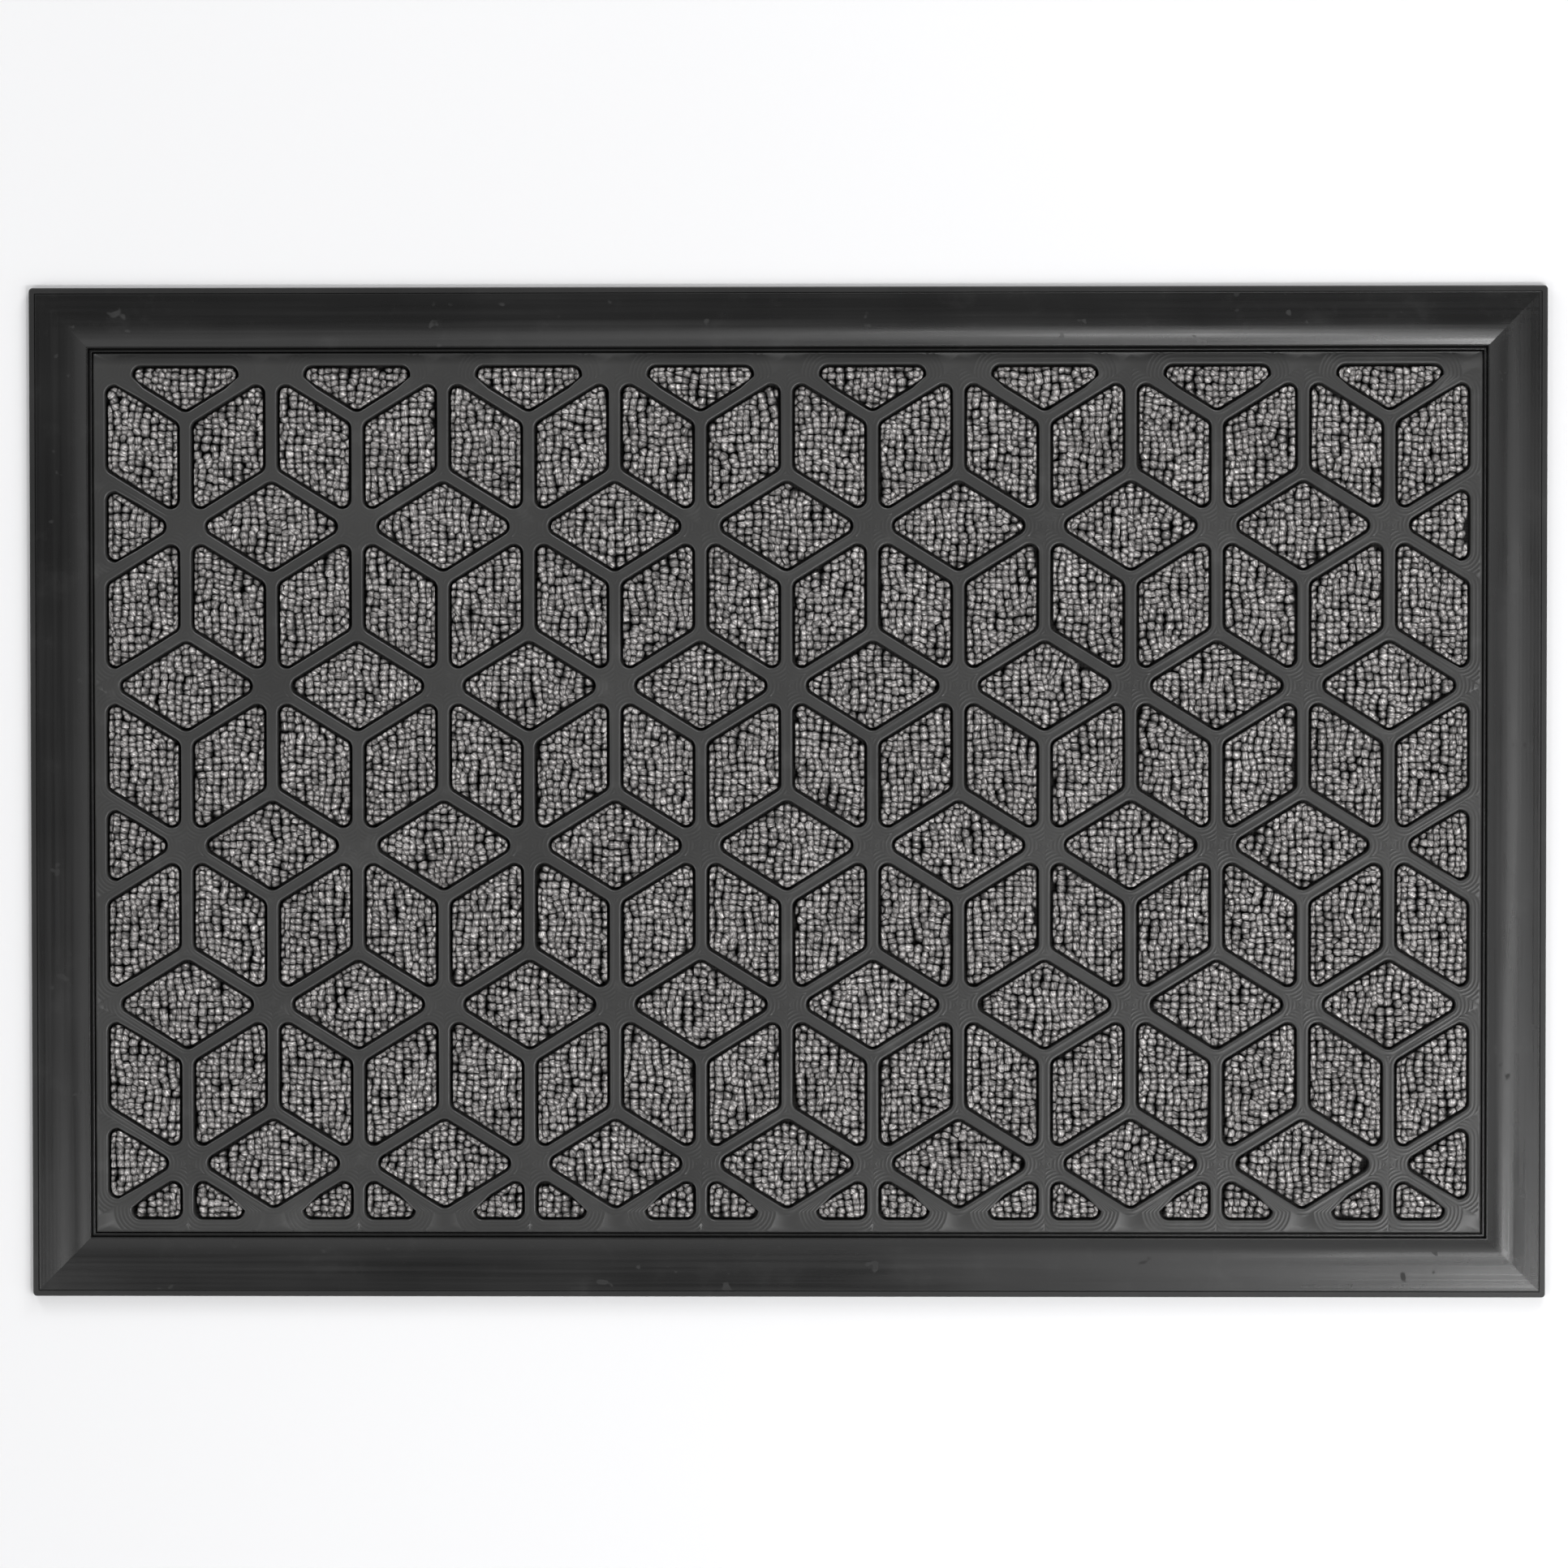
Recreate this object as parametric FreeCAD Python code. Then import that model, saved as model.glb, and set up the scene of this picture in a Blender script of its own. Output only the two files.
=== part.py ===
import FreeCAD, Part
import math
import os

# Door mat: a moulded rubber base, bevelled border and lattice, with loop-pile carpet in the lattice's
# pockets. Millimetres. X runs along the mat's length, Y across it, +Z up. The origin is on the floor,
# under the centre of the mat.

# ---- Driving dimensions ---------------------------------------------------------------------------
MAT_LENGTH = 600.0
MAT_WIDTH = 400.0
CREST_HEIGHT = 8.34        # where the crest's two faces would meet; its rounding brings it to 8.0
MAT_CORNER_RADIUS = 1.5

BASE_THICKNESS = 2.2       # solid rubber sheet under everything
RIM_EDGE_CHAMFER = 0.4     # broken outer edge of the raised rim
RIM_TOP = 2.7              # above the floor
RIM_WIDTH = 2.1            # raised rim of the base sheet, round the outside of the bevel
RIM_INNER_RADIUS = 0.4
CLOTH_THICKNESS = 0.8      # woven cloth that holds the yarn
GRID_TOP = 7.0             # lattice's top face, above the floor
PILE_TOP = 7.3             # tips of the yarn loops, above the floor

# Border, measured inwards from the mat's outer edge
BEVEL_INSET = 2.5          # the bevel's foot, a fine groove away from the rim
BEVEL_FOOT_RISE = 0.6      # above the base sheet
BEVEL_FOOT_RADIUS = 0.25
COVE_CORNER_INSET = 17.0   # where the outer slope and the inner slope would meet
COVE_CORNER_RISE = 1.4
COVE_RADIUS = 25.0
CREST_INSET = 23.7
CREST_RADIUS = 0.5
GROOVE_INSET = 24.2        # bottom of the groove inside the crest
GROOVE_DEPTH = 2.2         # below the crest's meeting point
GROOVE_RADIUS = 0.1
BEAD_START_INSET = 24.7    # fine bead between the two grooves
BEAD_END_INSET = 25.5
BEAD_DROP = 1.5            # bead's top, below the crest's meeting point
BEAD_RADIUS = 0.25
BORDER_WIDTH = 26.0        # where the border meets the lattice's land
SEAM_INSET = 25.65         # narrow seam between the bead and the lattice's land
SEAM_FLOOR = 4.6           # above the floor

# Lattice: upright ribs and slanting ribs draw diamonds and leaning four-sided cells
HALF_COLUMNS = 8           # cell columns on each side of the centre line
PATTERN_HALF_LENGTH = 271.5
PATTERN_HALF_WIDTH = 171.3
ROW_PITCH = 63.05          # from one row of diamonds to the next
ROW_SHIFT = -20.62         # middle row of diamonds, from the mat's centre line
HIGHEST_ROW = 2
LOWEST_ROW = -2
POCKET_INSET = 2.0         # half of a rib's width, at the height where its walls are measured
POCKET_CORNER_RADIUS = 4.0
RIB_ROUNDING = 0.6         # height of the broken top edges
RIB_TOP_INSET = 1.6        # half of a rib's flat top
RIB_SHOULDER_INSET = 2.15
RIB_FOOT_INSET = 2.45      # the walls are drafted, so a rib is widest at its foot
LAND_EDGE_CHAMFER = 0.6
CLOTH_MARGIN = 0.4         # gap between the cloth's edge and the border

# Pile blocks stand in the pockets with a narrow moat around them
PILE_INSET = 3.65

# Underside: straight grip channels that stop short of the edges
CHANNEL_PITCH = 12.0
CHANNEL_WIDTH = 3.0
CHANNEL_DEPTH = 0.7
CHANNEL_DRAFT = 0.4        # each wall leans by this much
CHANNEL_MARGIN = 14.0

# ---- Worked out -----------------------------------------------------------------------------------
HALF_LENGTH = MAT_LENGTH / 2
HALF_WIDTH = MAT_WIDTH / 2
CLOTH_TOP = BASE_THICKNESS + CLOTH_THICKNESS
COLUMN_PITCH = PATTERN_HALF_LENGTH / HALF_COLUMNS
DIAMOND_HALF_HEIGHT = ROW_PITCH / 3
SLOPE = DIAMOND_HALF_HEIGHT / COLUMN_PITCH
LAND_HALF_LENGTH = HALF_LENGTH - BORDER_WIDTH
LAND_HALF_WIDTH = HALF_WIDTH - BORDER_WIDTH


# ---- Outlines -------------------------------------------------------------------------------------
def unit(vector):
    """Return the vector at length one."""
    return FreeCAD.Vector(vector).normalize()


def rounded_wire(corners, radii):
    """Closed flat wire through the corners, each rounded by its own radius (0 leaves it sharp)."""
    count = len(corners)
    arcs = []
    for index, corner in enumerate(corners):
        to_last = unit(corners[index - 1] - corner)
        to_next = unit(corners[(index + 1) % count] - corner)
        radius = radii[index]
        half_angle = to_last.getAngle(to_next) / 2
        setback = radius / math.tan(half_angle)
        bisector = unit(to_last + to_next)
        middle = corner + bisector * (radius / math.sin(half_angle) - radius)
        arcs.append((corner + to_last * setback, middle, corner + to_next * setback))
    edges = []
    for index, (start, middle, end) in enumerate(arcs):
        if radii[index] > 0:
            edges.append(Part.Arc(start, middle, end).toShape())
        next_start = arcs[(index + 1) % count][0]
        if (next_start - end).dot(corners[(index + 1) % count] - corners[index]) <= 0:
            raise ValueError(f"the roundings at corner {index} and the next one overlap")
        edges.append(Part.LineSegment(end, next_start).toShape())
    return Part.Wire(edges)


def inset_corners(outline, distance, z):
    """Corners of the anticlockwise outline moved inwards by the distance, at height z."""
    count = len(outline)
    corners = []
    for index, (x, y) in enumerate(outline):
        last_x, last_y = outline[index - 1]
        next_x, next_y = outline[(index + 1) % count]
        along_in = unit(FreeCAD.Vector(x - last_x, y - last_y, 0))
        along_out = unit(FreeCAD.Vector(next_x - x, next_y - y, 0))
        turn = along_in.cross(along_out).z
        shift = (along_out - along_in) * (distance / turn)
        corners.append(FreeCAD.Vector(x, y, z) + shift)
    return corners


def cell_wire(outline, inset, z):
    """A cell's rounded outline at one height; deeper insets have tighter corners."""
    radius = POCKET_CORNER_RADIUS - (inset - POCKET_INSET)
    corners = inset_corners(outline, inset, z)
    return rounded_wire(corners, [radius] * len(corners))


def prism(wire, height):
    """Solid of the flat wire raised by the height."""
    return Part.Face(wire).extrude(FreeCAD.Vector(0, 0, height))


# ---- The lattice's cells --------------------------------------------------------------------------
def row_height(row):
    """Y of the centre of one row of diamonds."""
    return ROW_SHIFT + row * ROW_PITCH


def diamond_columns(row):
    """Column numbers of the diamonds in a row; the rows are staggered like bricks."""
    columns = range(-HALF_COLUMNS, HALF_COLUMNS + 1)
    return [column for column in columns if (column - row) % 2 == 0]


def full_diamonds(row):
    """Whole diamonds of one row, left to right."""
    y = row_height(row)
    cells = []
    for column in diamond_columns(row):
        if abs(column) == HALF_COLUMNS:
            continue
        x = column * COLUMN_PITCH
        left = (x - COLUMN_PITCH, y)
        bottom = (x, y - DIAMOND_HALF_HEIGHT)
        right = (x + COLUMN_PITCH, y)
        top = (x, y + DIAMOND_HALF_HEIGHT)
        cells.append([left, bottom, right, top])
    return cells


def half_diamonds(side):
    """Diamonds cut in half by one end of the field: side is -1 for left, 1 for right."""
    edge = side * HALF_COLUMNS * COLUMN_PITCH
    tip = edge - side * COLUMN_PITCH
    cells = []
    for row in range(HIGHEST_ROW, LOWEST_ROW - 1, -1):
        if HALF_COLUMNS not in diamond_columns(row):
            continue
        y = row_height(row)
        low = (edge, y - DIAMOND_HALF_HEIGHT)
        high = (edge, y + DIAMOND_HALF_HEIGHT)
        if side > 0:
            cells.append([(tip, y), low, high])
        else:
            cells.append([low, (tip, y), high])
    return cells


def leaning_cells(row, rising):
    """Four-sided cells above a row of diamonds; rising ones climb towards +X, the others fall."""
    y = row_height(row)
    cells = []
    for column in range(-HALF_COLUMNS, HALF_COLUMNS):
        over_diamond_edge = (column - row) % 2 == 0
        if over_diamond_edge == rising:
            continue
        left = column * COLUMN_PITCH
        right = left + COLUMN_PITCH
        left_foot = y if rising else y + DIAMOND_HALF_HEIGHT
        right_foot = y + DIAMOND_HALF_HEIGHT if rising else y
        upright = 2 * DIAMOND_HALF_HEIGHT
        cells.append([
            (left, left_foot),
            (right, right_foot),
            (right, right_foot + upright),
            (left, left_foot + upright),
        ])
    return cells


def top_triangles():
    """Lower halves of the diamonds that the field's top edge cuts."""
    row = HIGHEST_ROW + 1
    point_y = row_height(row) - DIAMOND_HALF_HEIGHT
    half_span = (PATTERN_HALF_WIDTH - point_y) / SLOPE
    cells = []
    for column in diamond_columns(row):
        x = column * COLUMN_PITCH
        cells.append([
            (x, point_y),
            (x + half_span, PATTERN_HALF_WIDTH),
            (x - half_span, PATTERN_HALF_WIDTH),
        ])
    return cells


def bottom_triangles(side):
    """Tops of the leaning cells that the field's bottom edge cuts, on one half of the mat."""
    peak_y = row_height(LOWEST_ROW)
    span = (peak_y + PATTERN_HALF_WIDTH) / SLOPE
    cells = []
    for column in diamond_columns(LOWEST_ROW + 1):
        if column * side < 0:
            continue
        x = column * COLUMN_PITCH
        peak = (x, peak_y)
        foot = (x, -PATTERN_HALF_WIDTH)
        cells.append([peak, (x - span, -PATTERN_HALF_WIDTH), foot])
        cells.append([peak, foot, (x + span, -PATTERN_HALF_WIDTH)])
    return cells


def cell_groups():
    """Every cell's outline, grouped by the pile node that fills it."""
    groups = {"pile_top_triangles": top_triangles()}
    for number, row in enumerate(range(HIGHEST_ROW, LOWEST_ROW - 1, -1), start=1):
        groups[f"pile_rising_row_{number}"] = leaning_cells(row, True)
        groups[f"pile_falling_row_{number}"] = leaning_cells(row, False)
        groups[f"pile_diamond_row_{number}"] = full_diamonds(row)
    groups["pile_half_diamonds_left"] = half_diamonds(-1)
    groups["pile_half_diamonds_right"] = half_diamonds(1)
    groups["pile_bottom_triangles_left"] = bottom_triangles(-1)
    groups["pile_bottom_triangles_right"] = bottom_triangles(1)
    return groups


# ---- Sub-parts ------------------------------------------------------------------------------------
def rectangle_corners(half_length, half_width, z):
    """Anticlockwise corners of a centred rectangle."""
    signs = [(-1, -1), (1, -1), (1, 1), (-1, 1)]
    return [FreeCAD.Vector(half_length * sx, half_width * sy, z) for sx, sy in signs]


def rectangle_wire(half_length, half_width, z, radius=0.0):
    """Centred rectangle with rounded corners."""
    return rounded_wire(rectangle_corners(half_length, half_width, z), [radius] * 4)


def grip_channel(y):
    """Cutting solid for one straight channel, wider at its mouth in the mat's underside."""
    mouth = CHANNEL_WIDTH / 2
    floor = mouth - CHANNEL_DRAFT
    half_run = HALF_LENGTH - CHANNEL_MARGIN
    section = [(-mouth, 0), (mouth, 0), (floor, CHANNEL_DEPTH), (-floor, CHANNEL_DEPTH)]
    corners = [FreeCAD.Vector(-half_run, y + across, up) for across, up in section]
    face = Part.Face(Part.makePolygon(corners + corners[:1]))
    return face.extrude(FreeCAD.Vector(2 * half_run, 0, 0))


def make_rubber_base():
    """Full-size rubber sheet with a low raised rim and channels in its underside."""
    chamfer_start = RIM_TOP - RIM_EDGE_CHAMFER
    side = prism(rectangle_wire(HALF_LENGTH, HALF_WIDTH, 0, MAT_CORNER_RADIUS), chamfer_start)
    lower = rectangle_wire(HALF_LENGTH, HALF_WIDTH, chamfer_start, MAT_CORNER_RADIUS)
    upper = rectangle_wire(
        HALF_LENGTH - RIM_EDGE_CHAMFER,
        HALF_WIDTH - RIM_EDGE_CHAMFER,
        RIM_TOP,
        MAT_CORNER_RADIUS - RIM_EDGE_CHAMFER,
    )
    sheet = side.fuse(Part.makeLoft([lower, upper], True, True)).removeSplitter()
    inside_rim = rectangle_wire(
        HALF_LENGTH - RIM_WIDTH,
        HALF_WIDTH - RIM_WIDTH,
        BASE_THICKNESS,
        RIM_INNER_RADIUS,
    )
    recess = prism(inside_rim, RIM_TOP)
    channels_each_way = int((HALF_WIDTH - CHANNEL_MARGIN) // CHANNEL_PITCH)
    steps = range(-channels_each_way, channels_each_way)
    channels = [grip_channel((step + 0.5) * CHANNEL_PITCH) for step in steps]
    return sheet.cut([recess] + channels)


def border_section():
    """The border's section as (inset from the mat's edge, height, corner radius), outside to inside."""
    cove_height = BASE_THICKNESS + COVE_CORNER_RISE
    bead_top = CREST_HEIGHT - BEAD_DROP
    return [
        (BEVEL_INSET, BASE_THICKNESS, 0),
        (BEVEL_INSET, BASE_THICKNESS + BEVEL_FOOT_RISE, BEVEL_FOOT_RADIUS),
        (COVE_CORNER_INSET, cove_height, COVE_RADIUS),
        (CREST_INSET, CREST_HEIGHT, CREST_RADIUS),
        (GROOVE_INSET, CREST_HEIGHT - GROOVE_DEPTH, GROOVE_RADIUS),
        (BEAD_START_INSET, bead_top, BEAD_RADIUS),
        (BEAD_END_INSET, bead_top, BEAD_RADIUS),
        (SEAM_INSET, SEAM_FLOOR, 0),
        (BORDER_WIDTH, SEAM_FLOOR, 0),
        (BORDER_WIDTH, BASE_THICKNESS, 0),
    ]


def border_side(turn, half_span, half_run):
    """One mitred side: half_span is the centre-to-edge distance, half_run half of its length."""
    section = border_section()
    corners = [FreeCAD.Vector(-half_run, -half_span + inset, z) for inset, z, _ in section]
    face = Part.Face(rounded_wire(corners, [radius for _, _, radius in section]))
    bar = face.extrude(FreeCAD.Vector(2 * half_run, 0, 0))
    outer, inner = -half_span, -half_span + BORDER_WIDTH + 1
    mitre = [
        FreeCAD.Vector(-half_run, outer, 0),
        FreeCAD.Vector(half_run, outer, 0),
        FreeCAD.Vector(half_run - (inner - outer), inner, 0),
        FreeCAD.Vector(-half_run + (inner - outer), inner, 0),
    ]
    trapezoid = Part.Face(Part.makePolygon(mitre + mitre[:1]))
    side = bar.common(trapezoid.extrude(FreeCAD.Vector(0, 0, 2 * CREST_HEIGHT)))
    side.rotate(FreeCAD.Vector(), FreeCAD.Vector(0, 0, 1), turn)
    return side


def make_border_frame():
    """Bevelled ring around the field, its four sides joined at 45 degree mitres."""
    sides = [
        border_side(0, HALF_WIDTH, HALF_LENGTH),
        border_side(90, HALF_LENGTH, HALF_WIDTH),
        border_side(180, HALF_WIDTH, HALF_LENGTH),
        border_side(270, HALF_LENGTH, HALF_WIDTH),
    ]
    return sides[0].fuse(sides[1:])


def make_carpet_backing_cloth():
    """One continuous sheet of cloth under the whole lattice."""
    wire = rectangle_wire(LAND_HALF_LENGTH - CLOTH_MARGIN, LAND_HALF_WIDTH - CLOTH_MARGIN, BASE_THICKNESS)
    return prism(wire, CLOTH_THICKNESS)


def pocket_cutter(outline):
    """Cutting solid for one pocket: drafted walls, then a broken edge at the lattice's top."""
    beyond = 0.5
    shoulder = GRID_TOP - RIB_ROUNDING
    draft = (RIB_FOOT_INSET - RIB_SHOULDER_INSET) / (shoulder - CLOTH_TOP)
    lean = (RIB_SHOULDER_INSET - RIB_TOP_INSET) / RIB_ROUNDING
    stations = [
        (RIB_FOOT_INSET + beyond * draft, CLOTH_TOP - beyond),
        (RIB_SHOULDER_INSET, shoulder),
        (RIB_TOP_INSET - beyond * lean, GRID_TOP + beyond),
    ]
    return Part.makeLoft([cell_wire(outline, inset, z) for inset, z in stations], True, True)


def make_rib_grid(groups):
    """Land and ribs in one piece: a plate on the cloth with all the pockets cut through it."""
    low_wire = rectangle_wire(LAND_HALF_LENGTH, LAND_HALF_WIDTH, CLOTH_TOP)
    plate = prism(low_wire, GRID_TOP - LAND_EDGE_CHAMFER - CLOTH_TOP)
    edge_wires = [
        rectangle_wire(LAND_HALF_LENGTH, LAND_HALF_WIDTH, GRID_TOP - LAND_EDGE_CHAMFER),
        rectangle_wire(LAND_HALF_LENGTH - LAND_EDGE_CHAMFER, LAND_HALF_WIDTH - LAND_EDGE_CHAMFER, GRID_TOP),
    ]
    plate = plate.fuse(Part.makeLoft(edge_wires, True, True)).removeSplitter()
    cutters = [pocket_cutter(outline) for cells in groups.values() for outline in cells]
    return plate.cut(cutters)


def make_pile(cells):
    """Plain blocks that fill the pockets from the cloth to the loops' tips."""
    blocks = [prism(cell_wire(outline, PILE_INSET, CLOTH_TOP), PILE_TOP - CLOTH_TOP) for outline in cells]
    return Part.makeCompound(blocks)


def single_solid(shape):
    """Return the only solid of a shape, and stop if the shape has more than one."""
    if len(shape.Solids) != 1:
        raise ValueError(f"expected one solid, found {len(shape.Solids)}")
    return shape.Solids[0]


# ---- Export ---------------------------------------------------------------------------------------
def main():
    """Build every node, report its size and write it as a STEP file."""
    groups = cell_groups()
    nodes = {
        "rubber_base": single_solid(make_rubber_base()),
        "border_frame": single_solid(make_border_frame()),
        "carpet_backing_cloth": single_solid(make_carpet_backing_cloth()),
        "rib_grid": single_solid(make_rib_grid(groups)),
    }
    for name, cells in groups.items():
        nodes[name] = make_pile(cells)
    os.makedirs("parts", exist_ok=True)
    for name, shape in nodes.items():
        shape.exportStep(f"parts/{name}.step")
        box = shape.BoundBox
        print(f"{name}: {len(shape.Solids)} solids, {shape.Volume / 1000:.1f} cm3, valid {shape.isValid()},"
              f" z {box.ZMin:.2f} to {box.ZMax:.2f}")


main()
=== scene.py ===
import math

import bmesh
import bpy
import numpy as np
from mathutils import Matrix, Vector


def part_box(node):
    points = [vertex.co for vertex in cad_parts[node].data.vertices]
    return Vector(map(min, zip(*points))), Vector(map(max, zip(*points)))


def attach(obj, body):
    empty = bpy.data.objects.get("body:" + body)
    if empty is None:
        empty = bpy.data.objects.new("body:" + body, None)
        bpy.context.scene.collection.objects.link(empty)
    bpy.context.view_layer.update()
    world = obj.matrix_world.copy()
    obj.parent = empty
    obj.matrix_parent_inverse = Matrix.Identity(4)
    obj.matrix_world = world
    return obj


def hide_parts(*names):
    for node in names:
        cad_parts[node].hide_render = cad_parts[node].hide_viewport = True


# Door mat: black moulded rubber with grey loop pile in the pockets of a rubber lattice. Metres, in the
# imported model's frame: X along the mat, Y across it, +Z up, the origin on the floor under its centre.

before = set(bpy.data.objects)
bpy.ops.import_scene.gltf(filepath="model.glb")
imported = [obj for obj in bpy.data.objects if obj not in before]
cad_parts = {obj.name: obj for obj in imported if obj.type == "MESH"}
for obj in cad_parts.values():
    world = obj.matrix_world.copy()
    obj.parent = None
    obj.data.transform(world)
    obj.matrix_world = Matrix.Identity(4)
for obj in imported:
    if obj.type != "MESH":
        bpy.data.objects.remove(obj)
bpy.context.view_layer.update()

MM = 0.001
SEED = 20417

# ---- Sizes read from the frame --------------------------------------------------------------------
base_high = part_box("rubber_base")[1]
border_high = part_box("border_frame")[1]
grid_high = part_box("rib_grid")[1]
cloth_low, cloth_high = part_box("carpet_backing_cloth")

HALF_LENGTH = base_high[0]
HALF_WIDTH = base_high[1]
BASE_TOP = cloth_low[2]
CREST_TOP = border_high[2]
CLOTH_TOP = cloth_high[2]
GRID_TOP = grid_high[2]
PILE_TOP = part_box("pile_diamond_row_1")[1][2]
LAND_HALF_LENGTH = grid_high[0]
LAND_HALF_WIDTH = grid_high[1]
BEVEL_INSET = HALF_LENGTH - border_high[0]
BORDER_WIDTH = HALF_LENGTH - LAND_HALF_LENGTH


def middle_y(node):
    """Y of the middle of a node's box."""
    low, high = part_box(node)
    return (low[1] + high[1]) / 2


# ---- The lattice, worked out from the pile nodes' boxes -------------------------------------------
ROWS = range(2, -3, -1)    # rows of diamonds, top to bottom; row 0 is the middle one
HALF_COLUMNS = 8
PILE_INSET = 3.65 * MM     # pile blocks' sides, from the ribs' centre lines
POCKET_INSET = 2.0 * MM    # half of a rib's width
POCKET_CORNER_RADIUS = 4.0 * MM
ROW_PITCH = (middle_y("pile_diamond_row_1") - middle_y("pile_diamond_row_5")) / 4
ROW_SHIFT = middle_y("pile_diamond_row_3")
COLUMN_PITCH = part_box("pile_diamond_row_2")[1][0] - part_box("pile_diamond_row_1")[1][0]
DIAMOND_HALF_HEIGHT = ROW_PITCH / 3
SLOPE = DIAMOND_HALF_HEIGHT / COLUMN_PITCH
PATTERN_HALF_LENGTH = HALF_COLUMNS * COLUMN_PITCH
PATTERN_HALF_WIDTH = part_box("pile_top_triangles")[1][1] + PILE_INSET


def row_height(row):
    """Y of the centre of one row of diamonds."""
    return ROW_SHIFT + row * ROW_PITCH


def diamond_columns(row):
    """Column numbers of the diamonds in a row; the rows are staggered like bricks."""
    return [column for column in range(-HALF_COLUMNS, HALF_COLUMNS + 1) if (column - row) % 2 == 0]


def diamond(column, row):
    """Anticlockwise corners of one diamond."""
    x = column * COLUMN_PITCH
    y = row_height(row)
    return [
        (x - COLUMN_PITCH, y),
        (x, y - DIAMOND_HALF_HEIGHT),
        (x + COLUMN_PITCH, y),
        (x, y + DIAMOND_HALF_HEIGHT),
    ]


def full_diamonds(row):
    """Whole diamonds of one row."""
    return [diamond(column, row) for column in diamond_columns(row) if abs(column) < HALF_COLUMNS]


def half_diamonds(side):
    """Diamonds cut in half by one end of the field: side is -1 for left, 1 for right."""
    cells = []
    for row in ROWS:
        if HALF_COLUMNS in diamond_columns(row):
            left, bottom, right, top = diamond(side * HALF_COLUMNS, row)
            cells.append([left, bottom, top] if side > 0 else [bottom, right, top])
    return cells


def leaning_cells(row, rising):
    """Four-sided cells above a row of diamonds; rising ones climb towards +X, the others fall."""
    y = row_height(row)
    upright = 2 * DIAMOND_HALF_HEIGHT
    cells = []
    for column in range(-HALF_COLUMNS, HALF_COLUMNS):
        if ((column - row) % 2 == 0) == rising:
            continue
        left = column * COLUMN_PITCH
        right = left + COLUMN_PITCH
        left_foot = y if rising else y + DIAMOND_HALF_HEIGHT
        right_foot = y + DIAMOND_HALF_HEIGHT if rising else y
        cells.append([
            (left, left_foot),
            (right, right_foot),
            (right, right_foot + upright),
            (left, left_foot + upright),
        ])
    return cells


def top_triangles():
    """Pocket outline and lattice outline of the diamonds that the field's top edge cuts."""
    row = ROWS[0] + 1
    y = row_height(row)
    point_y = y - DIAMOND_HALF_HEIGHT
    half_span = (PATTERN_HALF_WIDTH - point_y) / SLOPE
    cells = []
    for column in diamond_columns(row):
        x = column * COLUMN_PITCH
        left, right = x - COLUMN_PITCH, x + COLUMN_PITCH
        pocket = [(x, point_y), (x + half_span, PATTERN_HALF_WIDTH), (x - half_span, PATTERN_HALF_WIDTH)]
        plot = [(x, point_y), (right, y), (right, PATTERN_HALF_WIDTH), (left, PATTERN_HALF_WIDTH), (left, y)]
        cells.append((pocket, plot))
    return cells


def bottom_triangles(side):
    """Pocket and lattice outlines of the cells that the bottom edge cuts, on one half of the mat."""
    peak_y = row_height(ROWS[-1])
    edge_y = -PATTERN_HALF_WIDTH
    span = (peak_y - edge_y) / SLOPE
    cells = []
    for column in diamond_columns(ROWS[-1] + 1):
        if column * side < 0:
            continue
        x = column * COLUMN_PITCH
        left, right = x - COLUMN_PITCH, x + COLUMN_PITCH
        low_y = peak_y - DIAMOND_HALF_HEIGHT
        peak, foot = (x, peak_y), (x, edge_y)
        cells.append(([peak, (x - span, edge_y), foot], [peak, (left, low_y), (left, edge_y), foot]))
        cells.append(([peak, foot, (x + span, edge_y)], [peak, foot, (right, edge_y), (right, low_y)]))
    return cells


def cell_groups():
    """(pocket outline, lattice outline) of every cell, grouped by the pile node that fills it."""
    groups = {"pile_top_triangles": top_triangles()}
    for number, row in enumerate(ROWS, start=1):
        groups[f"pile_rising_row_{number}"] = leaning_cells(row, True)
        groups[f"pile_falling_row_{number}"] = leaning_cells(row, False)
        groups[f"pile_diamond_row_{number}"] = full_diamonds(row)
    groups["pile_half_diamonds_left"] = half_diamonds(-1)
    groups["pile_half_diamonds_right"] = half_diamonds(1)
    for name, cells in groups.items():
        if name != "pile_top_triangles":
            groups[name] = [(cell, cell) for cell in cells]
    groups["pile_bottom_triangles_left"] = bottom_triangles(-1)
    groups["pile_bottom_triangles_right"] = bottom_triangles(1)
    return groups


# ---- Flat geometry --------------------------------------------------------------------------------
def inset_corners(outline, distance):
    """Corners of an anticlockwise outline moved inwards by a distance."""
    points = np.array(outline, float)
    along = np.roll(points, -1, axis=0) - points
    along /= np.linalg.norm(along, axis=1)[:, None]
    before = np.roll(along, 1, axis=0)
    turn = before[:, 0] * along[:, 1] - before[:, 1] * along[:, 0]
    return points + (along - before) * (distance / turn)[:, None]


def nearest_on_outline(corners, points):
    """Nearest points on a closed outline, and whether each given point is inside it."""
    starts = corners[None, :, :]
    along = np.roll(corners, -1, axis=0)[None, :, :] - starts
    offset = points[:, None, :] - starts
    share = np.clip((offset * along).sum(2) / (along ** 2).sum(2), 0, 1)
    candidates = starts + share[..., None] * along
    gaps = np.linalg.norm(points[:, None, :] - candidates, axis=2)
    best = gaps.argmin(axis=1)
    side = along[..., 0] * offset[..., 1] - along[..., 1] * offset[..., 0]
    return candidates[np.arange(len(points)), best], (side > 0).all(axis=1)


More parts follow.
